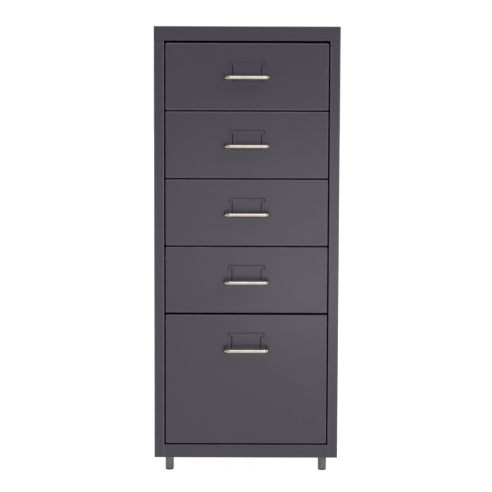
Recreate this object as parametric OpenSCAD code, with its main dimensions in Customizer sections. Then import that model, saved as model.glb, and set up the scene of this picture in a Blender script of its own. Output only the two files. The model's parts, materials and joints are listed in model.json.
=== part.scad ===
// Tall narrow steel drawer cabinet: a folded-sheet carcass on four short tube feet, with four
// shallow drawers above one deep drawer. Each drawer hangs by its out-turned top flanges in a
// pair of channel runners and slides out to the front.
// Millimetres, +Z up. The fronts face -Y. The origin is on the floor, under the middle of the
// overall box, which includes the handles in front and the screw heads behind.

/* [Carcass] */
// Width of the carcass
cabinet_w = 280; // [270:1:340]
// Height of the carcass above its feet
cabinet_h = 655; // [640:5:800]
// Depth of the carcass, from the drawer fronts to the back panel
cabinet_d = 398; // [380:1:480]
// Thickness of the sheet steel
sheet_t = 0.6; // [0.5:0.1:0.9]
// Outside radius of the folded edges
bend_r = 1.2; // [1:0.1:1.8]
// Width of the stile that each side panel turns to the front
stile_w = 15.4; // [14.6:0.2:17]
// Depth of the stile's return into the cabinet
stile_return = 10; // [6:1:12]
// Height of the lips that hang from the top panel
lid_lip = 21.5; // [18:0.5:26]
// Height of the rail below the deep drawer
base_rail = 20; // [18:1:26]
// Open seam where two panels meet edge to edge
seam = 0.3; // [0.2:0.1:0.5]

/* [Feet] */
// Height of the feet, glides included
foot_h = 25; // [20:1:40]
// Diameter of the feet
foot_d = 13; // [12:0.5:18]
// Distance of the feet from the middle of the cabinet
foot_x = 118; // [100:1:119]
// Distance of the feet from the front and from the back
foot_inset = 30; // [26:1:60]
// Thickness of the glide under each foot
glide_t = 2; // [1.5:0.5:4]

/* [Drawers] */
// Height of a shallow drawer front
shallow_h = 100.5; // [90:0.5:104]
// Gap above the first front
gap_top = 3.3; // [1.5:0.1:4]
// Gap between two shallow fronts
gap_between = 1.7; // [1.2:0.1:3]
// Gap above the deep front
gap_deep = 2.8; // [1.2:0.1:4]
// Gap at each side of a front and below the deep one
gap_side = 1.9; // [1.2:0.1:3]
// Depth of a front's folded edge
front_d = 14; // [12:1:18]
// Width of a drawer tray
tray_w = 227; // [200:1:227]
// Drop from the top of a front to the tray's flanges
tray_drop = 16.5; // [12:0.5:20]
// Rise from the bottom of a front to the tray's underside
tray_rise = 6; // [4:1:12]
// Room between a closed tray and the back panel
tray_gap = 18; // [12:1:30]
// Distance that a drawer slides out
travel = 300; // [200:10:310]

/* [Handles] */
// Diameter of the handle's wire
handle_d = 6; // [5:0.5:7]
// Distance between the handle's two legs
handle_pitch = 64; // [64:1:96]
// Distance that the handle stands out from the front
handle_reach = 30; // [24:1:36]
// Centreline radius of the handle's bends
handle_bend = 7; // [5:0.5:10]
// Drop from the top of a front to its handle
handle_drop = 51.8; // [40:0.2:56]

/* [Label holders] */
// Width of the pressed label holder
label_w = 54.4; // [40:0.2:56]
// Height of the pressed label holder
label_h = 34; // [28:1:38]
// Drop from the handle to the bottom of the label holder
label_drop = 10.4; // [6:0.2:14]
// Depth of the pressing
label_depth = 1.2; // [1:0.1:1.6]
// Width of the lips that hold a card at its sides and its bottom
label_lip = 5.6; // [3:0.2:8]
// Height at the top of the pressing that the side lips leave open
label_mouth = 5.3; // [3:0.1:8]

/* [Hidden] */
$fn = 48;
eps = 0.01;                                // how far solids that join run into each other
past = 1;                                  // how far a cut runs past a face
hole_reach = 2;                            // how far a hole's cut runs to each side of its sheet
DRAWERS = 5;                               // the last one is the deep drawer
SIDES = [["left", -1], ["right", 1]];
ENDS = ["front", "rear"];

paint = [0.31, 0.30, 0.34];
dark_paint = [0.26, 0.25, 0.28];
nickel = [0.80, 0.77, 0.73];
zinc = [0.62, 0.63, 0.64];
nylon = [0.88, 0.87, 0.83];
black_plastic = [0.10, 0.10, 0.11];

// Fasteners and small clearances
screw_d = 3.5;                             // sheet-metal screws
screw_head_d = 7;
screw_head_h = 2;
screw_len = 8;
thread_play = 0.1;                         // added to the diameter of a hole that holds a thread
clear_play = 0.4;                          // added to the diameter of a hole that a screw passes
handle_screw_d = 3;
handle_screw_head_d = 5.5;
handle_screw_head_h = 2.2;
handle_screw_len = 8;
handle_bore = 10;
washer_d = 7.5;
washer_t = 0.5;
dome = 1.42;                               // a screw head's dome, as a sphere against the head's width
stud_d = 6;
stud_head_d = 11;
stud_head_h = 4;
stud_len = 13;

// Main planes
front_y = handle_reach - (handle_reach + cabinet_d + screw_head_h) / 2;
back_y = front_y + cabinet_d;
mid_y = (front_y + back_y) / 2;
bottom_z = foot_h;
top_z = bottom_z + cabinet_h;
lid_z = top_z - lid_lip;                   // lower edge of the lid's lips
side_x = cabinet_w / 2 - sheet_t;          // inner face of a side panel
opening_x = cabinet_w / 2 - stile_w;       // half the width of the opening
floor_z = bottom_z + base_rail;            // upper face of the base panel

// Carcass details
tongue_below = 8;                          // how far a side panel's tongue overlaps its web
tongue_above = 14;                         // how far the tongue rises behind the lid's lip
tongue_end = 3;                            // room behind the tongue
return_flange = 12;                        // depth of the inward flange of the lid and of the rail
flange_inset = 2;                          // clear of the corners at each end of a flange or a hem
fit_gap = 0.1;                             // between two sheets that lie against each other
corner_gap = 1;                            // room round the stile's return
back_inset = 1;                            // back panel inside the carcass's outline
back_screw_x = cabinet_w / 2 - 8;
back_screw_margin = 42;                    // from the ends of the back panel to its outer screws
back_screw_step = (cabinet_h - lid_lip - 2 * back_screw_margin) / 3;
back_screw_z = [for (i = [0:3]) bottom_z + back_screw_margin + i * back_screw_step];
rail_w = 32;                               // foot rail, a lipped channel under the base panel
rail_slot = 18;
rail_front = front_y + return_flange + 2;
rail_rear = back_y - 4;
glide_stem_d = 8.9;
glide_stem_h = 7;
glide_bore_h = 8.5;                        // depth of the foot's bore for the glide's stem
glide_inset = 0.3;                         // glide's rim inside the foot's
foot_bevel = 0.6;

// Drawer fronts
front_w = 2 * (opening_x - gap_side);
deep_h = lid_z - floor_z - gap_top - (DRAWERS - 1) * shallow_h
       - (DRAWERS - 2) * gap_between - gap_deep - gap_side;
front_lip_x = 18;                          // width of the rear lips at the sides
front_lip_z = 8;                           // width of the rear lips above and below
function front_h(n) = n < DRAWERS ? shallow_h : deep_h;
function front_top(n) = n < DRAWERS ? lid_z - gap_top - (n - 1) * (shallow_h + gap_between)
                                    : floor_z + gap_side + deep_h;
function front_bottom(n) = front_top(n) - front_h(n);
function handle_z(n) = front_top(n) - handle_drop;
label_corner = 1.5;
label_skirt = 0.8;                         // rim of the lips that lies on the front's face

// Trays and runners
tray_front = front_y + front_d;
tray_rear = back_y - tray_gap;
tray_hem = 8;                              // inward hem along the tray's front and rear walls
flange_x = opening_x - gap_side;           // outer edge of a tray's flanges
flange_front = tray_front + flange_inset;
runner_front = tray_front + 2;
runner_rear = back_y - 8;
runner_inner_x = tray_w / 2 + 1.8;
runner_room = 7;                           // clear height inside a runner
slide_play = 0.3;
pad_h = 2.8;
pad_len = 20;
pad_slope = 2;
pad_bevel = 0.5;
pad_y = runner_front + 1;
pad_x = tray_w / 2 + 2.5;
pad_w = 8;
shoe_len = 30;
shoe_bevel = 1;
shoe_gap = 0.5;                            // between a shoe and its pad on a drawer that is fully out
shoe_y = pad_y + pad_len + travel + shoe_gap;  // front end of a shoe on a closed drawer
shoe_x = tray_w / 2 + 0.7;
shoe_w = flange_x + 0.8 - shoe_x;
tray_screw_x = tray_w / 2 - 4.5;
tray_screw_margin = 17;
function flange_z(n) = front_top(n) - tray_drop;
function tray_bottom(n) = front_bottom(n) + tray_rise;
function runner_z(n) = flange_z(n) - sheet_t - slide_play - pad_h;

// ---- shapes that repeat ----

// Rectangle about the origin with round corners
module round_rect(w, h, r) {
    square([w - 2 * r, h], center = true);
    square([w, h - 2 * r], center = true);
    for (x = [-1, 1], y = [-1, 1]) translate([x * (w / 2 - r), y * (h / 2 - r)]) circle(r);
}

// Closed section of folded sheet
module sheet_ring(w, h) {
    difference() {
        round_rect(w, h, bend_r);
        round_rect(w - 2 * sheet_t, h - 2 * sheet_t, bend_r - sheet_t);
    }
}

// Box that stands on z = 0 with every edge folded round
module folded_box(w, d, h, r) {
    intersection() {
        linear_extrude(h) round_rect(w, d, r);
        translate([0, d / 2, h / 2]) rotate([90, 0, 0]) linear_extrude(d) round_rect(w, h, r);
        translate([-w / 2, 0, h / 2]) rotate([90, 0, 90]) linear_extrude(w) round_rect(d, h, r);
    }
}

// Open pan of folded sheet with its floor on z = 0
module pan(w, d, h) {
    tall = h + 2 * bend_r;
    difference() {
        folded_box(w, d, tall, bend_r);
        translate([0, 0, sheet_t])
            folded_box(w - 2 * sheet_t, d - 2 * sheet_t, tall, bend_r - sheet_t);
        translate([-w, -d, h]) cube([2 * w, 2 * d, tall]);
    }
}

// Cylinder along Y from y to y + len
module rod_y(x, y, z, d, len) {
    translate([x, y, z]) rotate([-90, 0, 0]) cylinder(d = d, h = len);
}

// Cut along Y for a hole through one or two sheets about the plane y
module hole_y(x, y, z, d) {
    rod_y(x, y - hole_reach, z, d, 2 * hole_reach);
}

// Pan-head screw along Y with its head at the rear, resting on the plane y
module screw_from_rear(x, y, z, d, len, head_d, head_h) {
    rod_y(x, y - len, z, d, len + eps);
    intersection() {
        rod_y(x, y, z, head_d, head_h);
        translate([x, y - head_d / 2 + head_h, z]) sphere(d = head_d * dome);
    }
}

// The given side: the children are drawn for the right-hand side
module on_side(s) {
    if (s > 0) children();
    else mirror([1, 0, 0]) children();
}

// ---- carcass ----

// Side panel: outer web, front stile with its return and a tab that closes its foot, rear flange,
// and a tongue behind the lid
module side_panel(s) {
    d = cabinet_d - sheet_t;
    color(paint) on_side(s) difference() {
        union() {
            translate([cabinet_w / 2 - stile_w / 2, front_y + d / 2, bottom_z])
                linear_extrude(lid_z - seam - bottom_z) difference() {
                    sheet_ring(stile_w, d);
                    translate([-stile_w / 2 - past, stile_return - d / 2])
                        square([bend_r + past, d]);
                }
            translate([side_x - sheet_t, front_y + stile_return + corner_gap, lid_z - tongue_below])
                cube([sheet_t, d - stile_return - corner_gap - tongue_end,
                      tongue_below + tongue_above]);
            translate([opening_x + sheet_t / 2, front_y + sheet_t / 2, bottom_z])
                cube([stile_w - sheet_t, stile_return - sheet_t / 2, sheet_t]);
        }
        for (z = back_screw_z)
            hole_y(back_screw_x, back_y - sheet_t / 2, z, screw_d + thread_play);
    }
}

// Top panel: a flat lid with lips on all four sides and an inward flange on the front one
module top_panel() {
    color(paint) {
        translate([0, mid_y, top_z]) mirror([0, 0, 1]) pan(cabinet_w, cabinet_d, lid_lip);
        translate([flange_inset - side_x, front_y + sheet_t / 2, lid_z])
            cube([2 * (side_x - flange_inset), return_flange, sheet_t]);
    }
}

// Back panel: a flat sheet screwed over the side panels' rear flanges
module back_panel() {
    color(paint) difference() {
        translate([back_inset - cabinet_w / 2, back_y - sheet_t, bottom_z + seam])
            cube([cabinet_w - 2 * back_inset, sheet_t, lid_z - bottom_z - 2 * seam]);
        for (s = SIDES, z = back_screw_z)
            hole_y(s[1] * back_screw_x, back_y - sheet_t / 2, z, screw_d + clear_play);
    }
}

// Base panel: a pan turned over, whose front lip is the rail between the stiles. Its front corners
// are cut back behind the stiles, and closed there by small turned-down plates
module base_panel() {
    w = 2 * (side_x - fit_gap);
    d = cabinet_d - 2 * sheet_t - fit_gap;
    corner = front_y + stile_return + corner_gap;
    color(paint) {
        difference() {
            translate([0, front_y + d / 2, floor_z]) mirror([0, 0, 1]) pan(w, d, base_rail);
            for (s = [-1, 1])
                translate([s * cabinet_w / 2 - (s > 0 ? stile_w + seam : 0), front_y - past, 0])
                    cube([stile_w + seam, corner - front_y + past, floor_z + past]);
        }
        translate([seam - opening_x, front_y + sheet_t / 2, bottom_z])
            cube([2 * (opening_x - seam), return_flange, sheet_t]);
        for (s = [-1, 1])
            translate([s > 0 ? opening_x - seam : fit_gap - side_x, corner, bottom_z])
                cube([side_x - fit_gap - opening_x + seam, sheet_t, base_rail - sheet_t / 2]);
    }
}

// Foot rail: a lipped channel under the base panel that carries two feet
module foot_rail(s) {
    h = base_rail - sheet_t;
    color(dark_paint) difference() {
        translate([s * foot_x, rail_rear, bottom_z + h / 2]) rotate([90, 0, 0])
            linear_extrude(rail_rear - rail_front) difference() {
                sheet_ring(rail_w, h);
                translate([0, h / 2]) square([rail_slot, 4 * bend_r], center = true);
            }
        for (y = foot_ys) translate([s * foot_x, y, bottom_z - past])
            cylinder(d = stud_d + clear_play, h = sheet_t + 2 * past);
    }
}

// Screws that hold the back panel
module back_screws() {
    color(zinc) for (s = SIDES, z = back_screw_z)
        screw_from_rear(s[1] * back_screw_x, back_y, z, screw_d, screw_len,
                        screw_head_d, screw_head_h);
}

// ---- feet ----

foot_ys = [front_y + foot_inset, back_y - foot_inset];
function foot_place(s, e) = [s * foot_x, foot_ys[e == "front" ? 0 : 1], 0];

// Foot: a short round bar, threaded at the top and bored for its glide at the bottom
module foot(s, e) {
    r = foot_d / 2;
    color(zinc) translate(foot_place(s, e)) difference() {
        rotate_extrude() polygon([
            [0, glide_t], [r - foot_bevel, glide_t], [r, glide_t + foot_bevel],
            [r, foot_h - foot_bevel], [r - foot_bevel, foot_h], [0, foot_h]]);
        translate([0, 0, glide_t - past]) cylinder(d = glide_stem_d, h = glide_bore_h + past);
        cylinder(d = stud_d + thread_play, h = foot_h + past);
    }
}

// Glide: a round pad with a stem that plugs into the foot
module glide(s, e) {
    r = foot_d / 2 - glide_inset;
    color(black_plastic) translate(foot_place(s, e)) {
        rotate_extrude() polygon([
            [0, 0], [r - foot_bevel, 0], [r, foot_bevel], [r, glide_t], [0, glide_t]]);
        translate([0, 0, glide_t - eps]) cylinder(d = glide_stem_d, h = glide_stem_h + eps);
    }
}

// Weld studs: hexagon heads inside the foot rails, threads down into the feet
module foot_studs() {
    color(zinc) for (s = SIDES, y = foot_ys)
        translate([s[1] * foot_x, y, bottom_z + sheet_t]) {
            cylinder(d = stud_head_d, h = stud_head_h, $fn = 6);
            translate([0, 0, -stud_len]) cylinder(d = stud_d, h = stud_len + eps);
        }
}

// ---- runners ----

// Runner: a channel on the side panel, open towards the tray
module runner(s, n) {
    w = side_x - runner_inner_x;
    h = runner_room + 2 * sheet_t;
    color(dark_paint) on_side(s)
        translate([side_x - w / 2, runner_rear, runner_z(n) - sheet_t + h / 2])
            rotate([90, 0, 0]) linear_extrude(runner_rear - runner_front) difference() {
                sheet_ring(w, h);
                translate([-w / 2 - past, -h / 2 - past])
                    square([bend_r + past, h + 2 * past]);
            }
}

// Pads at the front of the runners: the tray's flanges slide on them and the shoes stop there
module runner_pads() {
    color(nylon) for (s = SIDES, n = [1:DRAWERS]) on_side(s[1])
        translate([pad_x, pad_y, runner_z(n)]) rotate([90, 0, 90]) linear_extrude(pad_w)
            polygon([[0, 0], [pad_len, 0], [pad_len, pad_h - pad_bevel],
                     [pad_len - pad_bevel, pad_h], [pad_slope, pad_h], [0, pad_h - pad_slope / 2]]);
}

// ---- drawers ----

// The card lips of a label holder: a U that is open at the top
module label_lips(z) {
    w = label_w + 2 * label_skirt;
    h = label_h - label_mouth + label_skirt;
    mouth_w = label_w - 2 * label_lip;
    translate([0, front_y, z - label_drop - label_skirt + h / 2]) rotate([90, 0, 0])
        linear_extrude(sheet_t) difference() {
            round_rect(w, h, label_corner);
            translate([-mouth_w / 2, label_skirt + label_lip - h / 2]) square([mouth_w, h]);
        }
}

// A box over the pressing of a label holder, larger by grow on each side
module label_block(z, y, depth, grow) {
    translate([-label_w / 2 - grow, y, z - label_drop - grow])
        cube([label_w + 2 * grow, depth, label_h + 2 * grow]);
}

// Drawer front: a shallow box of folded sheet, with rear lips, a pressed label holder and holes
module drawer_front(n) {
    h = front_h(n);
    z = handle_z(n);
    color(paint) {
        difference() {
            union() {
                translate([0, front_y, front_top(n) - h / 2]) rotate([-90, 0, 0]) difference() {
                    folded_box(front_w, h, front_d, bend_r);
                    translate([0, 0, sheet_t])
                        folded_box(front_w - 2 * sheet_t, h - 2 * sheet_t,
                                   front_d - 2 * sheet_t, bend_r - sheet_t);
                    translate([front_lip_x - front_w / 2, front_lip_z - h / 2, front_d / 2])
                        cube([front_w - 2 * front_lip_x, h - 2 * front_lip_z, front_d]);
                }
                label_block(z, front_y + sheet_t / 2, label_depth + sheet_t / 2, sheet_t);
            }
            label_block(z, front_y - past, label_depth + past, 0);
            for (x = [-1, 1])
                hole_y(x * handle_pitch / 2, front_y, z, handle_screw_d + clear_play);
            for (x = [-1, 1], sz = tray_screw_z(n))
                hole_y(x * tray_screw_x, tray_front, sz, screw_d + thread_play);
        }
        label_lips(z);
    }
}

function tray_screw_z(n) = [tray_bottom(n) + tray_screw_margin, flange_z(n) - tray_screw_margin];

// Drawer tray: an open pan with out-turned flanges at its sides and hems at front and rear
module drawer_tray(n) {
    d = tray_rear - tray_front;
    h = flange_z(n) - tray_bottom(n);
    color(dark_paint) difference() {
        union() {
            translate([0, tray_front + d / 2, tray_bottom(n)]) pan(tray_w, d, h);
            for (s = [-1, 1])
                translate([s > 0 ? tray_w / 2 - sheet_t / 2 : -flange_x, flange_front,
                           flange_z(n) - sheet_t])
                    cube([flange_x - tray_w / 2 + sheet_t / 2,
                          tray_rear - flange_inset - flange_front, sheet_t]);
            for (y = [tray_front + sheet_t / 2, tray_rear - sheet_t / 2 - tray_hem])
                translate([flange_inset - tray_w / 2, y, flange_z(n) - sheet_t])
                    cube([tray_w - 2 * flange_inset, tray_hem, sheet_t]);
        }
        for (x = [-1, 1], sz = tray_screw_z(n))
            hole_y(x * tray_screw_x, tray_front, sz, screw_d + clear_play);
    }
}

// Handle: one wire bent to a D, with a threaded bore in the end of each leg
module drawer_handle(n) {
    leg_x = handle_pitch / 2;
    bar_y = front_y - handle_reach + handle_d / 2;
    color(nickel) translate([0, 0, handle_z(n)]) difference() {
        union() {
            translate([handle_bend - leg_x, bar_y, 0]) rotate([0, 90, 0])
                cylinder(d = handle_d, h = handle_pitch - 2 * handle_bend);
            for (s = [0, 1]) mirror([s, 0, 0]) {
                rod_y(leg_x, bar_y + handle_bend, 0, handle_d, front_y - bar_y - handle_bend);
                translate([leg_x - handle_bend, bar_y + handle_bend, 0]) rotate([0, 0, -90])
                    rotate_extrude(angle = 90) translate([handle_bend, 0]) circle(d = handle_d);
            }
        }
        for (s = [-1, 1])
            rod_y(s * leg_x, front_y - handle_bore, 0, handle_screw_d + thread_play,
                  handle_bore + past);
    }
}

// Screws and washers behind the front that hold the handle
module handle_screws(n) {
    seat = front_y + sheet_t;
    color(zinc) for (x = [-1, 1]) translate([x * handle_pitch / 2, 0, handle_z(n)]) {
        screw_from_rear(0, seat + washer_t, 0, handle_screw_d, handle_screw_len,
                        handle_screw_head_d, handle_screw_head_h);
        difference() {
            rod_y(0, seat, 0, washer_d, washer_t);
            hole_y(0, seat, 0, handle_screw_d + 2 * thread_play);
        }
    }
}

// Screws inside the tray that hold it to the lips of the front
module tray_screws(n) {
    color(zinc) for (x = [-1, 1], z = tray_screw_z(n))
        screw_from_rear(x * tray_screw_x, tray_front + sheet_t, z, screw_d, screw_len,
                        screw_head_d, screw_head_h);
}

// Shoes at the rear of the tray's flanges, which ride in the runners
module shoes(n) {
    bottom = runner_z(n) + slide_play;
    h = runner_room - 2 * slide_play;
    slot = flange_z(n) - sheet_t - bottom;
    b = shoe_bevel;
    color(nylon) for (s = SIDES) on_side(s[1]) translate([shoe_x, shoe_y, bottom])
        difference() {
            rotate([90, 0, 90]) linear_extrude(shoe_w)
                polygon([[0, b], [b, 0], [shoe_len - b, 0], [shoe_len, b], [shoe_len, h - b],
                         [shoe_len - b, h], [b, h], [0, h - b]]);
            translate([-past, -past, slot])
                cube([flange_x - shoe_x + past, shoe_len + 2 * past, sheet_t]);
        }
}

// ---- the assembly ----

side_panel(-1);  // side_panel_left
side_panel(1);  // side_panel_right
back_panel();
top_panel();
base_panel();
foot_rail(-1);  // foot_rail_left
foot_rail(1);  // foot_rail_right
back_screws();
foot_studs();
runner_pads();
for (e = ENDS, s = SIDES) {
    foot(s[1], e);
    glide(s[1], e);
}
for (s = SIDES, n = [1:DRAWERS])
    runner(s[1], n);
for (n = [1:DRAWERS]) {
    drawer_front(n);
    drawer_tray(n);
    drawer_handle(n);
    handle_screws(n);
    tray_screws(n);
    shoes(n);
}
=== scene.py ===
"""The looks of a tall, slim steel drawer cabinet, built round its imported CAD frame.

Metres, +Z up, the drawers face -Y. Everything is placed from the frame's own boxes."""
import json
import math

import bmesh
import bpy
from mathutils import Matrix, Vector


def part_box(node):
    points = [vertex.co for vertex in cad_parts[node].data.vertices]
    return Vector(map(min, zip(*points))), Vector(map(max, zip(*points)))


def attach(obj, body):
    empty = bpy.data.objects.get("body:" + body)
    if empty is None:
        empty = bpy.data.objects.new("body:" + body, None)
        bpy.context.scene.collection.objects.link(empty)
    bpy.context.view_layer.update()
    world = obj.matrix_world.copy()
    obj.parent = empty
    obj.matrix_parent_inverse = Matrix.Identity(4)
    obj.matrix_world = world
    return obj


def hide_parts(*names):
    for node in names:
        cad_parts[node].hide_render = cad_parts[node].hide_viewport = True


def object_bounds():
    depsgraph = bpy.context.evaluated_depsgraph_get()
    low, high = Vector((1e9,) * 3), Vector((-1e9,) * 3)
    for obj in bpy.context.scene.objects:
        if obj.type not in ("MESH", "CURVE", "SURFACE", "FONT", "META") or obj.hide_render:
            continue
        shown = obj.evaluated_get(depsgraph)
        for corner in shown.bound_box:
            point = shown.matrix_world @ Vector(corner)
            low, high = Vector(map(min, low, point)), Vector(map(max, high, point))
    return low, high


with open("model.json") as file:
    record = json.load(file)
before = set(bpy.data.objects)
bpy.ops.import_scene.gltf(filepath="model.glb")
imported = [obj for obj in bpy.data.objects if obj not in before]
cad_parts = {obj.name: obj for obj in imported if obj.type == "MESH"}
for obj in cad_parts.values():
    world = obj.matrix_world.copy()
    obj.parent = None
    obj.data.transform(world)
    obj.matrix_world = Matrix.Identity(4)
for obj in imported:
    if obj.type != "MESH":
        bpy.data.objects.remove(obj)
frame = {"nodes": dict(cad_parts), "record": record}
CAD_LO, CAD_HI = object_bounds()
MM = 0.001
DRAWERS = 5
SHEET = 0.6 * MM             # gauge of the steel
BEND = 1.2 * MM              # outside radius of its folds
FRONT_BEND = 1.7 * MM        # and of the drawer fronts' softer ones
BEND_STEPS = 5
SEAM = 0.3 * MM              # open seam between two panels
SHARP = math.radians(35)     # an edge that turns more than this is a sharp one
FOLD = "fold"                # a mesh attribute: 1 on a fold and 0 off it; a fold's paint is lighter, partly rubbed wear and partly a painted highlight
FOLD_MARGIN = 0.6 * MM       # how far a fold's lighter paint, rubbed wear and painted highlight, reaches over the flat beside it
FACE_REAR = Matrix.Rotation(math.radians(-90), 4, "X")        # turns +Z to +Y


# ---- shader helpers ----

class NodeMaker:
    """A node tree whose nodes are made with short calls."""

    def __init__(self, tree):
        self.tree = tree

    def node(self, kind, settings=None, **inputs):
        made = self.tree.nodes.new(kind)
        for key, value in (settings or {}).items():
            setattr(made, key, value)
        for key, value in inputs.items():
            self.feed(made.inputs[key.replace("_", " ")], value)
        return made

    def feed(self, socket, value):
        if isinstance(value, bpy.types.NodeSocket):
            self.tree.links.new(value, socket)
        else:
            socket.default_value = value

    def product(self, a, b):
        made = self.node("ShaderNodeMath", {"operation": "MULTIPLY"})
        self.feed(made.inputs[0], a)
        self.feed(made.inputs[1], b)
        return made.outputs[0]

    def levels(self, value, low, high, to_low, to_high):
        """A value's range from low to high, stretched over another one."""
        return self.node("ShaderNodeMapRange", Value=value, From_Min=low, From_Max=high,
                         To_Min=to_low, To_Max=to_high).outputs[0]


class Shader(NodeMaker):
    """A material that is put together from nodes."""

    def __init__(self, name):
        self.material = bpy.data.materials.new(name)
        self.material.use_nodes = True
        super().__init__(self.material.node_tree)
        self.tree.nodes.clear()
        self.coords = self.node("ShaderNodeTexCoord").outputs["Object"]

    def stretched(self, scale):
        """The object's coordinates, scaled unevenly."""
        return self.node("ShaderNodeMapping", Vector=self.coords, Scale=scale).outputs[0]

    def noise(self, scale, detail=3.0, roughness=0.5, coords=None):
        return self.node("ShaderNodeTexNoise", Vector=coords or self.coords, Scale=scale,
                         Detail=detail, Roughness=roughness).outputs["Fac"]

    def blend(self, factor, a, b):
        """A colour between a and b."""
        mix = self.node("ShaderNodeMix", {"data_type": "RGBA"})
        for index, value in ((0, factor), (6, a), (7, b)):
            self.feed(mix.inputs[index], value)
        return mix.outputs[2]

    def bump(self, height, distance, under=None):
        made = self.node("ShaderNodeBump", Height=height, Distance=distance)
        if under is not None:
            self.feed(made.inputs["Normal"], under)
        return made.outputs[0]

    def finish(self, **inputs):
        shader = self.node("ShaderNodeBsdfPrincipled", **inputs)
        self.node("ShaderNodeOutputMaterial", Surface=shader.outputs[0])
        return self.material


def rgb(r, g, b):
    """A shader colour from an sRGB one."""
    def linear(c):
        c /= 255
        return c / 12.92 if c <= 0.04045 else ((c + 0.055) / 1.055) ** 2.4
    return (linear(r), linear(g), linear(b), 1.0)


# ---- materials ----

def painted_steel(name, tone, shade, worn_and_highlight):
    """Satin powder coat on thin sheet: fine orange peel, a slight roll of the sheet, and folds painted
    lighter, partly rubbed paint and partly a painted highlight.
    """
    s = Shader(name)
    cloudy = s.noise(5.0, 4.0)
    base = s.blend(s.levels(cloudy, 0.35, 0.65, 0.0, 1.0), tone, shade)
    peel = s.noise(420.0, 3.0, 0.55)
    rolled = s.noise(9.0, 1.0)
    rub_and_highlight = s.levels(s.noise(160.0, 4.0, 0.7), 0.42, 0.62, 0.5, 1.0)
    # folds are painted lighter: partly rubbed wear, partly a painted highlight along the edges
    fold = s.node("ShaderNodeAttribute", {"attribute_name": FOLD}).outputs["Fac"]
    amount = s.levels(s.product(fold, rub_and_highlight), 0.0, 1.0, 0.0, 0.5)
    sheet = s.bump(rolled, 0.25 * MM)
    return s.finish(
        Base_Color=s.blend(amount, base, worn_and_highlight),
        Roughness=s.levels(peel, 0.3, 0.7, 0.27, 0.35),
        Specular_IOR_Level=0.44, Coat_Weight=0.12, Coat_Roughness=0.12,
        Normal=s.bump(peel, 0.010 * MM, under=sheet))


def plated(name, tone, shade, low, high, grain):
    """Plated metal, drawn or turned along one direction, with its roughness between low and high."""
    s = Shader(name)
    lines = s.noise(900.0, 3.0, 0.6, s.stretched(grain))
    blotch = s.noise(60.0, 3.0)
    return s.finish(
        Base_Color=s.blend(s.levels(blotch, 0.35, 0.65, 0.0, 1.0), tone, shade),
        Metallic=1.0,
        Roughness=s.levels(lines, 0.3, 0.7, low, high),
        Normal=s.bump(lines, 0.004 * MM))


def moulded(name, tone, shade, roughness):
    """Moulded plastic with a fine matt grain."""
    s = Shader(name)
    grain = s.noise(1400.0, 2.0)
    return s.finish(
        Base_Color=s.blend(s.noise(80.0), tone, shade),
        Roughness=s.levels(grain, 0.3, 0.7, roughness - 0.06, roughness + 0.06),
        Normal=s.bump(grain, 0.01 * MM))


# the third colour of each painted steel is its folds' lighter paint, partly rubbed wear and partly a
# painted highlight
MATERIALS = {
    "slate_paint": painted_steel("slate_powder_coat",
                                 rgb(45, 38, 52), rgb(42, 36, 49), rgb(100, 95, 107)),
    "inner_paint": painted_steel("slate_powder_coat_inside",
                                 rgb(50, 45, 57), rgb(47, 42, 53), rgb(98, 94, 105)),
    "nickel": plated("nickel_plate", rgb(178, 171, 161), rgb(168, 161, 151), 0.07, 0.13, (0.05, 1, 1)),
    "zinc": plated("zinc_plate", rgb(186, 189, 192), rgb(164, 168, 172), 0.28, 0.42, (1, 1, 1)),
    "foot_metal": plated("turned_steel", rgb(100, 100, 101), rgb(90, 90, 91), 0.26, 0.4, (1, 1, 0.1)),
    "nylon": moulded("nylon", rgb(226, 222, 210), rgb(214, 209, 196), 0.42),
    "black_plastic": moulded("black_polyethylene", rgb(34, 34, 36), rgb(26, 26, 28), 0.5),
}


def wear(obj, slot):
    """Gives a piece its finish."""
    obj.data.materials.clear()
    obj.data.materials.append(MATERIALS[slot])


# ---- carried-over CAD nodes ----

def dress_cad_nodes():
    slots = {part["node"]: part["material_slot"] for part in frame["record"]["subparts"]}
    for name, obj in frame["nodes"].items():
        wear(obj, slots[name])


# ---- mesh helpers ----

def new_piece(name, mesh, body, slot, *stands_for):
    """A new object that rides on a body, wears a finish and may stand for CAD nodes."""
    piece = bpy.data.objects.new(name, mesh)
    bpy.context.scene.collection.objects.link(piece)
    flat = piece.modifiers.new("flat_faces", "WEIGHTED_NORMAL")
    flat.keep_sharp = True
    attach(piece, body)
    if stands_for:
        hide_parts(*stands_for)
    wear(piece, slot)


def to_mesh(name, shape, thickness=0.0):
    """A smooth mesh with sharp corners from a bmesh, which is used up. A skin gets its sheet's
    thickness on the side away from its normals."""
    bmesh.ops.remove_doubles(shape, verts=shape.verts, dist=0.001 * MM)
    mesh = bpy.data.meshes.new(name)
    shape.to_mesh(mesh)
    shape.free()
    if thickness:
        mesh = with_modifier(mesh, "SOLIDIFY", thickness=thickness, offset=-1, use_even_offset=True)
    mesh.polygons.foreach_set("use_smooth", [True] * len(mesh.polygons))
    mesh.set_sharp_from_angle(angle=SHARP)
    return mesh


def with_modifier(mesh, kind, **settings):
    """The mesh that a modifier makes of this one."""
    holder = bpy.data.objects.new("holder", mesh)
    bpy.context.scene.collection.objects.link(holder)
    modifier = holder.modifiers.new(kind, kind)
    for key, value in settings.items():
        setattr(modifier, key, value)
    evaluated = holder.evaluated_get(bpy.context.evaluated_depsgraph_get())
    result = bpy.data.meshes.new_from_object(evaluated)
    bpy.data.objects.remove(holder)
    return result


def cut_away(mesh, cutter):
    """The mesh with another mesh's solid cut out of it."""
    tool = bpy.data.objects.new("cutter", cutter)
    bpy.context.scene.collection.objects.link(tool)
    result = with_modifier(mesh, "BOOLEAN", operation="DIFFERENCE", object=tool)
    bpy.data.objects.remove(tool)
    return result


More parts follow.
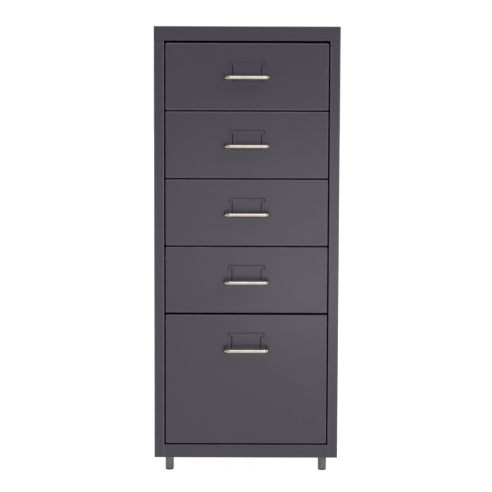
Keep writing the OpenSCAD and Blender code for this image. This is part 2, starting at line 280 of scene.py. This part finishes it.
def arc(cx, cz, radius, start, end):
    """Points on an arc, by its angles in degrees."""
    steps = 6
    turns = [math.radians(start + (end - start) * i / steps) for i in range(steps + 1)]
    return [(cx + radius * math.cos(t), cz + radius * math.sin(t)) for t in turns]


def grid_lines(low, high, marks, spread, close=5, coarse=12 * MM):
    """Positions from low to high: close ones within spread of each mark, and even steps between."""
    lines = {low, low + FOLD_MARGIN, high - FOLD_MARGIN, high}
    for mark in marks:
        lines |= {mark + spread * k / close for k in range(-close, close + 1)}
    lines = sorted(lines)
    filled = [lines[0]]
    for before, here in zip(lines, lines[1:]):
        cuts = max(1, math.ceil((here - before) / coarse))
        filled += [before + (here - before) * (i + 1) / cuts for i in range(cuts)]
    return filled


def soft_step(value):
    """0 up to 0, 1 from 1 on, and a smooth rise between."""
    value = min(max(value, 0.0), 1.0)
    return value * value * (3 - 2 * value)


def join_rings(shape, inner, outer):
    """Faces between two closed rings, where some points of a ring may be the same."""
    for k in range(len(inner)):
        after = (k + 1) % len(inner)
        shape.faces.new(dict.fromkeys((inner[k], outer[k], outer[after], inner[after])))


def lathe(shape, outline, centre, segments):
    """Turns an outline of (radius, height) points about a vertical axis through centre."""
    rings = []
    for radius, height in outline:
        count = segments if radius > 0 else 1
        rings.append([shape.verts.new((centre.x + radius * math.cos(math.tau * k / segments),
                                       centre.y + radius * math.sin(math.tau * k / segments),
                                       centre.z + height)) for k in range(count)])
    for low, high in zip(rings, rings[1:]):
        for k in range(segments):
            after = (k + 1) % segments
            corners = [low[k % len(low)], low[after % len(low)],
                       high[after % len(high)], high[k % len(high)]]
            shape.faces.new(dict.fromkeys(corners))


# ---- drawer fronts ----

LABEL_W = 54.4 * MM          # pressed label holder
LABEL_H = 34.0 * MM
LABEL_DROP = 10.4 * MM       # from the handle down to the holder's lower edge
LABEL_DEPTH = 2.0 * MM
LABEL_CORNER = 2.0 * MM
LABEL_SLOPE = 1.3 * MM       # width of the pressing's soft wall
LIP_W = 4.6 * MM             # lips that hold a card
LIP_SKIRT = 0.8 * MM         # their rim on the front's face
LIP_ROUND = 1.5 * MM         # how far their edges round over
LIP_ROUND_STEPS = 4
LIP_CORNER = 1.6 * MM        # corners of the U that the lips make
LIP_END_CORNER = 1.0 * MM    # and of its two ends
LIP_MOUTH = 5.3 * MM         # open height above the side lips
SLOT_X = LABEL_W / 2 - LIP_W - 0.3 * MM      # grooves along the inner edges of the side lips
SLOT_W = 1.1 * MM
SLOT_DEPTH = 3.0 * MM
REAR_LIP_X = 18 * MM         # rear lips of a front, at its sides
REAR_LIP_Z = 8 * MM          # above and below


def label_relief(x, z, low):
    """How deep a front is pressed at a point; low is the holder's lower edge."""
    across = abs(x) - (LABEL_W / 2 - LABEL_CORNER)
    up = abs(z - low - LABEL_H / 2) - (LABEL_H / 2 - LABEL_CORNER)
    outside = math.hypot(max(across, 0), max(up, 0)) + min(max(across, up), 0) - LABEL_CORNER
    pressed = LABEL_DEPTH * soft_step(0.5 - outside / LABEL_SLOPE)
    if low + LIP_W < z < low + LABEL_H - LIP_MOUTH:
        # a groove is at full depth to an eighth of its width off its line, and gone at three quarters
        beside = abs(abs(x) - SLOT_X) / SLOT_W
        pressed += SLOT_DEPTH * soft_step(1.2 - 1.6 * beside)
    return pressed


def folded_front(lo, hi, face_y, label_low):
    """Outer skin of a drawer front: a pressed face, four folded sides and lips at the rear."""
    radius = FRONT_BEND
    slot_low, slot_high = label_low + LIP_W, label_low + LABEL_H - LIP_MOUTH
    z_lines = grid_lines(lo.z + radius, hi.z - radius,
                         (label_low, slot_low, slot_high, label_low + LABEL_H), LABEL_SLOPE)
    x_lines = grid_lines(radius - hi.x, hi.x - radius,
                         (-LABEL_W / 2, -SLOT_X, SLOT_X, LABEL_W / 2), LABEL_SLOPE)
    shape = bmesh.new()
    fold = shape.verts.layers.float.new(FOLD)
    face = [[shape.verts.new((x, face_y + label_relief(x, z, label_low), z)) for z in z_lines]
            for x in x_lines]
    for left, right in zip(face, face[1:]):
        for k in range(len(z_lines) - 1):
            shape.faces.new((left[k], right[k], right[k + 1], left[k + 1]))

    # round the rim of the face: each point has a place on the rim and a way outwards
    turns = [math.tau * i / 4 / BEND_STEPS for i in range(1, BEND_STEPS + 1)]
    corner = [(math.sin(t), math.cos(t)) for t in turns[:-1]]
    rim = [(row[0], (0, -1)) for row in face]
    rim += [(face[-1][0], (s, -c)) for s, c in corner]
    rim += [(vert, (1, 0)) for vert in face[-1]]
    rim += [(face[-1][-1], (c, s)) for s, c in corner]
    rim += [(row[-1], (0, 1)) for row in reversed(face)]
    rim += [(face[0][-1], (-s, c)) for s, c in corner]
    rim += [(vert, (-1, 0)) for vert in reversed(face[0])]
    rim += [(face[0][0], (-c, -s)) for s, c in corner]

    # each ring has its distance out from the rim, its y and how much lighter its paint is, as rubbed
    # wear and painted highlight
    rear_y = hi.y - radius
    rings = [(radius * math.sin(t), face_y + radius * (1 - math.cos(t)), math.cos(t)) for t in turns]
    rings += [(radius, face_y + radius + FOLD_MARGIN, 0.0), (radius, rear_y - FOLD_MARGIN, 0.0)]
    rings += [(radius * math.cos(t), rear_y + radius * math.sin(t), 1.0) for t in [0.0] + turns]
    inner = [vert for vert, _ in rim]
    for out, y, rub_and_highlight in rings:
        outer = [shape.verts.new((v.co.x + way[0] * out, y, v.co.z + way[1] * out)) for v, way in rim]
        for vert in outer:
            vert[fold] = rub_and_highlight
        join_rings(shape, inner, outer)
        inner = outer
    lips = [shape.verts.new((min(max(v.co.x, REAR_LIP_X - hi.x), hi.x - REAR_LIP_X), hi.y,
                             min(max(v.co.z, lo.z + REAR_LIP_Z), hi.z - REAR_LIP_Z))) for v, _ in rim]
    join_rings(shape, inner, lips)
    return shape


def card_lips(face_y, label_low):
    """The U of sheet that holds a card in front of the pressing."""
    half, low = LABEL_W / 2 + LIP_SKIRT, label_low - LIP_SKIRT
    mouth, floor = LABEL_W / 2 - LIP_W, label_low + LIP_W
    top = label_low + LABEL_H - LIP_MOUTH
    r, s = LIP_CORNER, LIP_END_CORNER
    outline = (arc(r - half, low + r, r, 180, 270) + arc(half - r, low + r, r, 270, 360)
               + arc(half - s, top - s, s, 0, 90) + arc(mouth + s, top - s, s, 90, 180)
               + arc(mouth - r, floor + r, r, 0, -90) + arc(r - mouth, floor + r, r, -90, -180)
               + arc(-mouth - s, top - s, s, 0, 90) + arc(s - half, top - s, s, 90, 180))
    shape = bmesh.new()
    face = shape.faces.new([shape.verts.new((x, face_y, z)) for x, z in outline])
    if face.normal.y > 0:
        face.normal_flip()
    for k in range(1, LIP_ROUND_STEPS + 1):
        bmesh.ops.inset_region(shape, faces=[face], thickness=LIP_ROUND / LIP_ROUND_STEPS,
                               use_even_offset=True)
        for vert in face.verts:
            vert.co.y = face_y - SHEET * soft_step(k / LIP_ROUND_STEPS)
    bmesh.ops.edgeloop_fill(shape, edges=[edge for edge in shape.edges if edge.is_boundary])
    bmesh.ops.recalc_face_normals(shape, faces=shape.faces)
    return shape


def drawer_fronts():
    for n in range(1, DRAWERS + 1):
        node, body = f"drawer_{n}_front", f"drawer_{n}"
        lo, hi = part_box(node)
        handle_lo, handle_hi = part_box(f"drawer_{n}_handle")
        label_low = (handle_lo.z + handle_hi.z) / 2 - LABEL_DROP
        shell = to_mesh(node, folded_front(lo, hi, handle_hi.y, label_low), SHEET)
        new_piece(f"{body}_folded_front", shell, body, "slate_paint", node)
        lips = to_mesh(f"{node}_lips", card_lips(handle_hi.y, label_low))
        new_piece(f"{body}_label_lips", lips, body, "slate_paint")


# ---- handles ----

HANDLE_BEND = 7 * MM         # centreline radius of the wire's bends
HANDLE_BEND_STEPS = 10
HANDLE_LEG = 12 * MM         # from the end of a leg to the next ring along it
HANDLE_SIDES = 32            # round the wire


def wire_handle(lo, hi):
    """A round wire along a D: a leg, a bend, the bar, a bend and a leg."""
    radius = (hi.z - lo.z) / 2
    middle = (lo.z + hi.z) / 2
    leg, bar = hi.x - radius, lo.y + radius

    # points of the left half as x, y and the angle of the wire's left side, then their mirror images
    path = [(-leg, hi.y - HANDLE_LEG * k, 180.0) for k in (0, 1)]
    turns = [90.0 * k / HANDLE_BEND_STEPS for k in range(HANDLE_BEND_STEPS + 1)]
    path += [(HANDLE_BEND - leg - HANDLE_BEND * math.cos(math.radians(t)),
              bar + HANDLE_BEND - HANDLE_BEND * math.sin(math.radians(t)), 180.0 + t) for t in turns]
    path += [(x * (leg - HANDLE_BEND), bar, 270.0) for x in (-0.5, 0.0)]
    path += [(-x, y, 540.0 - a) for x, y, a in reversed(path[:-1])]
    around = [math.tau * k / HANDLE_SIDES for k in range(HANDLE_SIDES)]
    up = Vector((0, 0, radius))
    shape = bmesh.new()
    rings = []
    for x, y, angle in path:
        centre = Vector((x, y, middle))
        out = Vector((math.cos(math.radians(angle)), math.sin(math.radians(angle)), 0)) * radius
        rings.append([shape.verts.new(centre + out * math.cos(t) + up * math.sin(t)) for t in around])
    for before, after in zip(rings, rings[1:]):
        join_rings(shape, before, after)
    shape.faces.new(rings[0])
    shape.faces.new(rings[-1])
    bmesh.ops.recalc_face_normals(shape, faces=shape.faces)
    return shape


def handles():
    for n in range(1, DRAWERS + 1):
        node, body = f"drawer_{n}_handle", f"drawer_{n}"
        mesh = to_mesh(node, wire_handle(*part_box(node)))
        new_piece(f"{body}_wire_handle", mesh, body, "nickel", node)


# ---- screws ----

# head diameter, head height, shank diameter, length
SHEET_SCREW = (7 * MM, 2 * MM, 3.5 * MM, 8 * MM)
METRIC_SCREW = (5.5 * MM, 2.2 * MM, 3 * MM, 8 * MM)
WASHER = (7.5 * MM, 3.2 * MM, 0.5 * MM)      # outer and inner diameter, thickness
BACK_SCREW_ROWS = 4
SCREW_SIDES = 32


def screw_mesh(head_d, head_h, shank_d, length):
    """A pan-head screw with a cross recess and thread ridges, its head on +Z and its seat on z = 0."""
    shape = bmesh.new()
    pitch, root, tip = 0.22 * shank_d, 0.40 * shank_d, 0.4 * shank_d
    outline = [(0, -length), (0.3 * root, -length + 0.3 * shank_d)]
    for k in range(int((length - tip) / pitch)):
        z = -length + tip + k * pitch
        outline += [(root, z), (shank_d / 2, z + pitch / 2)]
    rim = head_h * 0.35
    outline += [(root, 0), (head_d / 2, 0), (head_d / 2, rim)]
    dome = [math.radians(90 * k / 6) for k in range(1, 6)]
    outline += [(head_d / 2 * math.cos(t) ** 0.7, rim + (head_h - rim) * math.sin(t)) for t in dome]
    lathe(shape, outline + [(0, head_h)], Vector((0, 0, 0)), SCREW_SIDES)
    bmesh.ops.recalc_face_normals(shape, faces=shape.faces)

    # a cross that narrows downwards, to be cut out of the head
    wing, web, sunk, narrowing = 0.30 * head_d, 0.055 * head_d, 0.55 * head_h, 0.6
    corners = []
    for k in range(4):
        turn = Matrix.Rotation(math.tau * k / 4, 2)
        corners += [turn @ Vector(p) for p in ((wing, -web), (wing, web), (web, web))]
    cross = bmesh.new()
    deep = [cross.verts.new((p.x * narrowing, p.y * narrowing, head_h - sunk)) for p in corners]
    wide = [cross.verts.new((p.x, p.y, head_h + 0.1 * head_h)) for p in corners]
    cross.faces.new(deep)
    cross.faces.new(wide)
    join_rings(cross, deep, wide)
    bmesh.ops.recalc_face_normals(cross, faces=cross.faces)
    return cut_away(to_mesh("screw", shape), to_mesh("recess", cross))


def washer(shape, centre, outer_d, inner_d, thickness):
    """A flat ring, bevelled at its rim, about the Y axis through centre."""
    edge = thickness / 4
    outline = [(inner_d / 2, 0), (outer_d / 2 - edge, 0), (outer_d / 2, edge),
               (outer_d / 2, thickness - edge), (outer_d / 2 - edge, thickness),
               (inner_d / 2, thickness), (inner_d / 2, 0)]
    ring = bmesh.new()
    lathe(ring, outline, Vector((0, 0, 0)), SCREW_SIDES)
    bmesh.ops.recalc_face_normals(ring, faces=ring.faces)
    bmesh.ops.transform(ring, matrix=Matrix.Translation(centre) @ FACE_REAR, verts=ring.verts)
    part = bpy.data.meshes.new("washer")
    ring.to_mesh(part)
    ring.free()
    shape.from_mesh(part)


def screw_set(name, node, body, sizes, places, washers=None):
    """Copies of one screw, each turned a little differently, as one piece with its heads to the rear."""
    pattern = screw_mesh(*sizes)
    shape = bmesh.new()
    for k, place in enumerate(places):
        turned = pattern.copy()
        twist = Matrix.Rotation(math.radians(37 * k + 11), 4, "Z")
        turned.transform(Matrix.Translation(place) @ FACE_REAR @ twist)
        shape.from_mesh(turned)
        if washers:
            washer(shape, place - Vector((0, washers[2], 0)), *washers)
    new_piece(name, to_mesh(name, shape), body, "zinc", node)


def screws():
    lo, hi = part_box("back_screws")
    head_r, head_h = SHEET_SCREW[0] / 2, SHEET_SCREW[1]
    steps = BACK_SCREW_ROWS - 1
    rows = [lo.z + head_r + (hi.z - lo.z - 2 * head_r) * k / steps for k in range(BACK_SCREW_ROWS)]
    screw_set("back_panel_screws", "back_screws", "cabinet", SHEET_SCREW,
              [Vector((side * (hi.x - head_r), hi.y - head_h, z)) for side in (-1, 1) for z in rows])
    for n in range(1, DRAWERS + 1):
        body = f"drawer_{n}"
        lo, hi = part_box(f"{body}_tray_screws")
        screw_set(f"{body}_front_screws", f"{body}_tray_screws", body, SHEET_SCREW,
                  [Vector((side * (hi.x - head_r), hi.y - head_h, z))
                   for side in (-1, 1) for z in (lo.z + head_r, hi.z - head_r)])
        lo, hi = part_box(f"{body}_handle_screws")
        screw_set(f"{body}_wire_screws", f"{body}_handle_screws", body, METRIC_SCREW,
                  [Vector((side * (hi.x - WASHER[0] / 2), hi.y - METRIC_SCREW[1], (lo.z + hi.z) / 2))
                   for side in (-1, 1)], WASHER)


# ---- side panels ----

WELD_R = 3.2 * MM            # spot-weld marks on the sides
WELD_DEPTH = 0.18 * MM
WELD_PLACES = (0.06, 0.35, 0.64, 0.93)       # along a runner
WELD_LINES = 4               # grid lines to each side of a mark's middle
WEB_STEP = 30 * MM           # coarsest step of the grid
RETURN_D = 10 * MM           # the stile's return
REAR_GAP = 1.2 * MM          # rear flange, short of the stile's inner edge
TONGUE_DROP = 8 * MM         # tongue inside the lid, from this far below the seam
TONGUE_INSET = 3 * MM        # and this far short of the back


def weld_marks():
    """The (y, z) of the welds that hold the runners and, in line with them, the base panel."""
    marks = []
    for n in range(1, DRAWERS + 1):
        run_lo, run_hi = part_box(f"runner_right_{n}")
        along = [run_lo.y + (run_hi.y - run_lo.y) * at for at in WELD_PLACES]
        marks += [(y, (run_lo.z + run_hi.z) / 2) for y in along]
    base_lo, base_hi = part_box("base_panel")
    return marks + [(y, (base_lo.z + base_hi.z) / 2) for y in along]


def side_path(lo, hi, welds):
    """Points round the right-hand panel, from the return's rear edge to the rear flange's: x, y, how
    much lighter the paint is, as rubbed wear and painted highlight, and y again where a weld mark may
    be."""
    turns = [90 * k / BEND_STEPS for k in range(BEND_STEPS + 1)]

    def bend(cx, cy, start):
        return [(cx + BEND * math.cos(math.radians(start + t)),
                 cy + BEND * math.sin(math.radians(start + t)),
                 math.sin(math.radians(t)) if start == 180 else 1, None) for t in turns]

    path = [(lo.x, lo.y + RETURN_D, 0, None), (lo.x, lo.y + BEND + FOLD_MARGIN, 0, None)]
    path += bend(lo.x + BEND, lo.y + BEND, 180)
    path += [(lo.x + BEND + FOLD_MARGIN, lo.y, 0, None), (hi.x - BEND - FOLD_MARGIN, lo.y, 0, None)]
    path += bend(hi.x - BEND, lo.y + BEND, 270)
    web = grid_lines(lo.y + BEND, hi.y - BEND, sorted({y for y, _ in welds}), WELD_R,
                     WELD_LINES, WEB_STEP)
    path += [(hi.x, y, 0, y) for y in web[1:-1]]
    path += bend(hi.x - BEND, hi.y - BEND, 0)
    return path + [(hi.x - BEND - FOLD_MARGIN, hi.y, 0, None), (lo.x + REAR_GAP, hi.y, 0, None)]


def side_skin(lo, hi, welds):
    """Outer skin of the right-hand side panel: return, stile, web and rear flange, with weld marks."""
    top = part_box("top_panel")[0].z - SEAM
    levels = grid_lines(lo.z, top, sorted({z for _, z in welds}), WELD_R, WELD_LINES, WEB_STEP)
    shape = bmesh.new()
    fold = shape.verts.layers.float.new(FOLD)

    def sunk(y, z):
        """A mark is at full depth to a quarter of its radius, and gone a quarter beyond it."""
        if y is None:
            return 0.0
        near = min(math.hypot(y - wy, z - wz) for wy, wz in welds)
        return WELD_DEPTH * soft_step(1.25 - near / WELD_R)

    columns = []
    for x, y, rub_and_highlight, web_y in side_path(lo, hi, welds):
        columns.append([shape.verts.new((x - sunk(web_y, z), y, z)) for z in levels])
        for vert in columns[-1]:
            vert[fold] = rub_and_highlight
    for before, after in zip(columns, columns[1:]):
        for k in range(len(levels) - 1):
            shape.faces.new((before[k], after[k], after[k + 1], before[k + 1]))
    front, rear, foot = lo.y + RETURN_D + MM, hi.y - TONGUE_INSET, top - TONGUE_DROP
    tongue = [shape.verts.new((hi.x - SHEET, y, z))
              for y, z in ((front, foot), (rear, foot), (rear, hi.z), (front, hi.z))]
    shape.faces.new(tongue)
    tab = [shape.verts.new((x, y, lo.z))
           for x, y in ((lo.x + SHEET, lo.y + RETURN_D), (hi.x - SHEET, lo.y + RETURN_D),
                        (hi.x - SHEET, lo.y + SHEET), (lo.x + SHEET, lo.y + SHEET))]
    shape.faces.new(tab)
    return shape


def side_panels():
    """Both sides are made from the right-hand one's box, and the left one is mirrored."""
    lo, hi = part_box("side_panel_right")
    welds = weld_marks()
    for side, turn in (("left", -1), ("right", 1)):
        node = f"side_panel_{side}"
        shape = side_skin(lo, hi, welds)
        if turn < 0:
            bmesh.ops.transform(shape, matrix=Matrix.Diagonal((-1, 1, 1, 1)), verts=shape.verts)
            bmesh.ops.reverse_faces(shape, faces=shape.faces)
        new_piece(f"folded_{node}", to_mesh(node, shape, SHEET), "cabinet", "slate_paint", node)


FILL_THICK = 0.5 * MM        # filler in the seams beside the bottom rail
FILL_EDGE = 0.03 * MM        # how far its face lies back at its edges
FILL_HOLLOW = 0.06 * MM      # and how much further in its middle
FILL_REACH = 0.5 * MM        # how far it runs on over the rail, past the seam
FILL_RISE = 0.2 * MM         # and how far above the lower edge it starts
FILL_STEPS = 6


def seam_fills():
    """Filled and painted joints between the stiles and the rail below the deep drawer."""
    lo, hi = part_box("side_panel_right")
    base_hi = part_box("base_panel")[1]
    left, right, tall = lo.x - SEAM - FILL_REACH, lo.x + BEND, base_hi.z - lo.z - BEND
    middle, half = (left + right) / 2, (right - left) / 2
    for side, turn in (("left", -1), ("right", 1)):
        shape = bmesh.new()
        columns = []
        for k in range(FILL_STEPS + 1):
            x = middle + half * (2 * k / FILL_STEPS - 1)
            hollow = FILL_EDGE + FILL_HOLLOW * (1 - (2 * k / FILL_STEPS - 1) ** 2)
            columns.append([shape.verts.new((turn * x, lo.y + hollow, lo.z + FILL_RISE + tall * at))
                            for at in (0, 1)])
        for before, after in zip(columns, columns[1:]):
            ring = (before[0], after[0], after[1], before[1])
            shape.faces.new(ring if turn > 0 else ring[::-1])
        filled = to_mesh("filled_seam", shape, FILL_THICK)
        new_piece(f"filled_seam_{side}", filled, "cabinet", "slate_paint")


# ---- feet ----

FOOT_EDGE = 0.6 * MM         # bevel at both ends of a foot
FOOT_SIDES = 64


def feet():
    for end in ("front", "rear"):
        for side in ("left", "right"):
            node = f"foot_{end}_{side}"
            lo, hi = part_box(node)
            centre = Vector(((lo.x + hi.x) / 2, (lo.y + hi.y) / 2, lo.z))
            r, tall, edge, knee = (hi.x - lo.x) / 2, hi.z - lo.z, FOOT_EDGE, 0.3 * FOOT_EDGE
            outline = [(0.7 * r, 0), (r - edge, 0), (r - knee, knee), (r, edge),
                       (r, tall - edge), (r - knee, tall - knee), (r - edge, tall), (0.5 * r, tall)]
            shape = bmesh.new()
            lathe(shape, outline, centre, FOOT_SIDES)
            new_piece(f"turned_{node}", to_mesh(node, shape), "cabinet", "foot_metal", node)


# ---- studio ----

FLOOR_HALF = 30.0            # half of its width
FLOOR_GLOW = 0.97            # keeps the pale floor white where the cabinet shades it
ROOM_LOW, ROOM_HIGH = 0.5, 1.3       # what the backdrop sheds from level and from overhead
ROOM_LEFT, ROOM_RIGHT = 0.5, 1.15    # and how that falls off to either side
LENS = 116.7                 # millimetres, on a sensor 36 wide
CAMERA_PLACE = (-0.0008, -2.5895, 0.5635)
CAMERA_TILT = math.radians(84.93)    # up from looking straight down
CAMERA_ROLL = math.radians(0.19)     # off level


def studio_floor():
    mesh = bpy.data.meshes.new("floor")
    half = FLOOR_HALF
    mesh.from_pydata([(-half, -half, 0), (half, -half, 0), (half, half, 0), (-half, half, 0)],
                     [], [(0, 1, 2, 3)])
    floor = bpy.data.objects.new("floor", mesh)
    bpy.context.scene.collection.objects.link(floor)
    s = Shader("pale_floor")
    mesh.materials.append(s.finish(
        Base_Color=s.blend(s.noise(2.0), rgb(150, 150, 150), rgb(146, 146, 146)),
        Roughness=0.8, Specular_IOR_Level=0.0,
        Emission_Color=(1.0, 1.0, 1.0, 1.0), Emission_Strength=FLOOR_GLOW))


def area_light(name, place, target, size, power):
    data = bpy.data.lights.new(name, "AREA")
    data.shape = "RECTANGLE"
    data.size, data.size_y = size
    data.energy = power
    light = bpy.data.objects.new(name, data)
    light.location = place
    light.rotation_euler = (Vector(target) - Vector(place)).to_track_quat("-Z", "Y").to_euler()
    bpy.context.scene.collection.objects.link(light)


def room_light():
    """A backdrop that the camera sees white. It sheds more light from overhead and from the right
    than it does from level and from the left."""
    world = bpy.data.worlds.new("studio")
    world.use_nodes = True
    w = NodeMaker(world.node_tree)
    way = w.node("ShaderNodeSeparateXYZ", Vector=w.node("ShaderNodeTexCoord").outputs["Generated"])
    rise = w.levels(way.outputs["Z"], 0.0, 0.9, ROOM_LOW, ROOM_HIGH)
    across = w.levels(way.outputs["X"], -0.6, 0.6, ROOM_LEFT, ROOM_RIGHT)
    seen = w.node("ShaderNodeLightPath").outputs["Is Camera Ray"]
    background = w.tree.nodes["Background"]
    w.feed(background.inputs["Color"], (1, 1, 1, 1))
    w.feed(background.inputs["Strength"], w.levels(seen, 0.0, 1.0, w.product(rise, across), 1.0))
    bpy.context.scene.world = world


def studio_light():
    """The room's light, and soft lights in front, from the key high on the right to one near the
    floor, with one behind on the left and one beside on the right."""
    room_light()
    middle = (CAD_LO + CAD_HI) / 2
    area_light("key", (1.1, -1.8, 1.6), middle, (0.7, 0.7), 14)
    area_light("high_front", (0.0, -2.6, 2.2), middle, (1.2, 0.8), 14)
    area_light("low_right", (0.9, -2.5, 0.25), middle, (0.8, 0.5), 3)
    area_light("low_front", (0.2, -2.8, 0.22), middle, (0.9, 0.4), 1.7)
    area_light("near_floor", (0.3, -1.4, 0.1), (0.05, CAD_LO.y, 0.27), (0.6, 0.14), 0.5)
    area_light("back_left", (-1.9, 1.6, 1.5), middle, (1.0, 1.0), 14)
    area_light("side_right", (2.3, 0.6, 1.2), middle, (1.0, 1.0), 10)
    bpy.context.scene.view_settings.view_transform = "Standard"


def studio_camera():
    """Level with the upper drawers, facing the fronts, tilted a little down and a trace off level."""
    data = bpy.data.cameras.new("camera")
    data.sensor_width = 36.0
    data.lens = LENS
    camera = bpy.data.objects.new("camera", data)
    tilt = Matrix.Rotation(CAMERA_TILT, 4, "X")
    roll = Matrix.Rotation(CAMERA_ROLL, 4, "Z")
    camera.matrix_world = Matrix.Translation(CAMERA_PLACE) @ tilt @ roll
    bpy.context.scene.collection.objects.link(camera)
    bpy.context.scene.camera = camera


dress_cad_nodes()
drawer_fronts()
handles()
screws()
side_panels()
seam_fills()
feet()
studio_floor()
studio_light()
studio_camera()
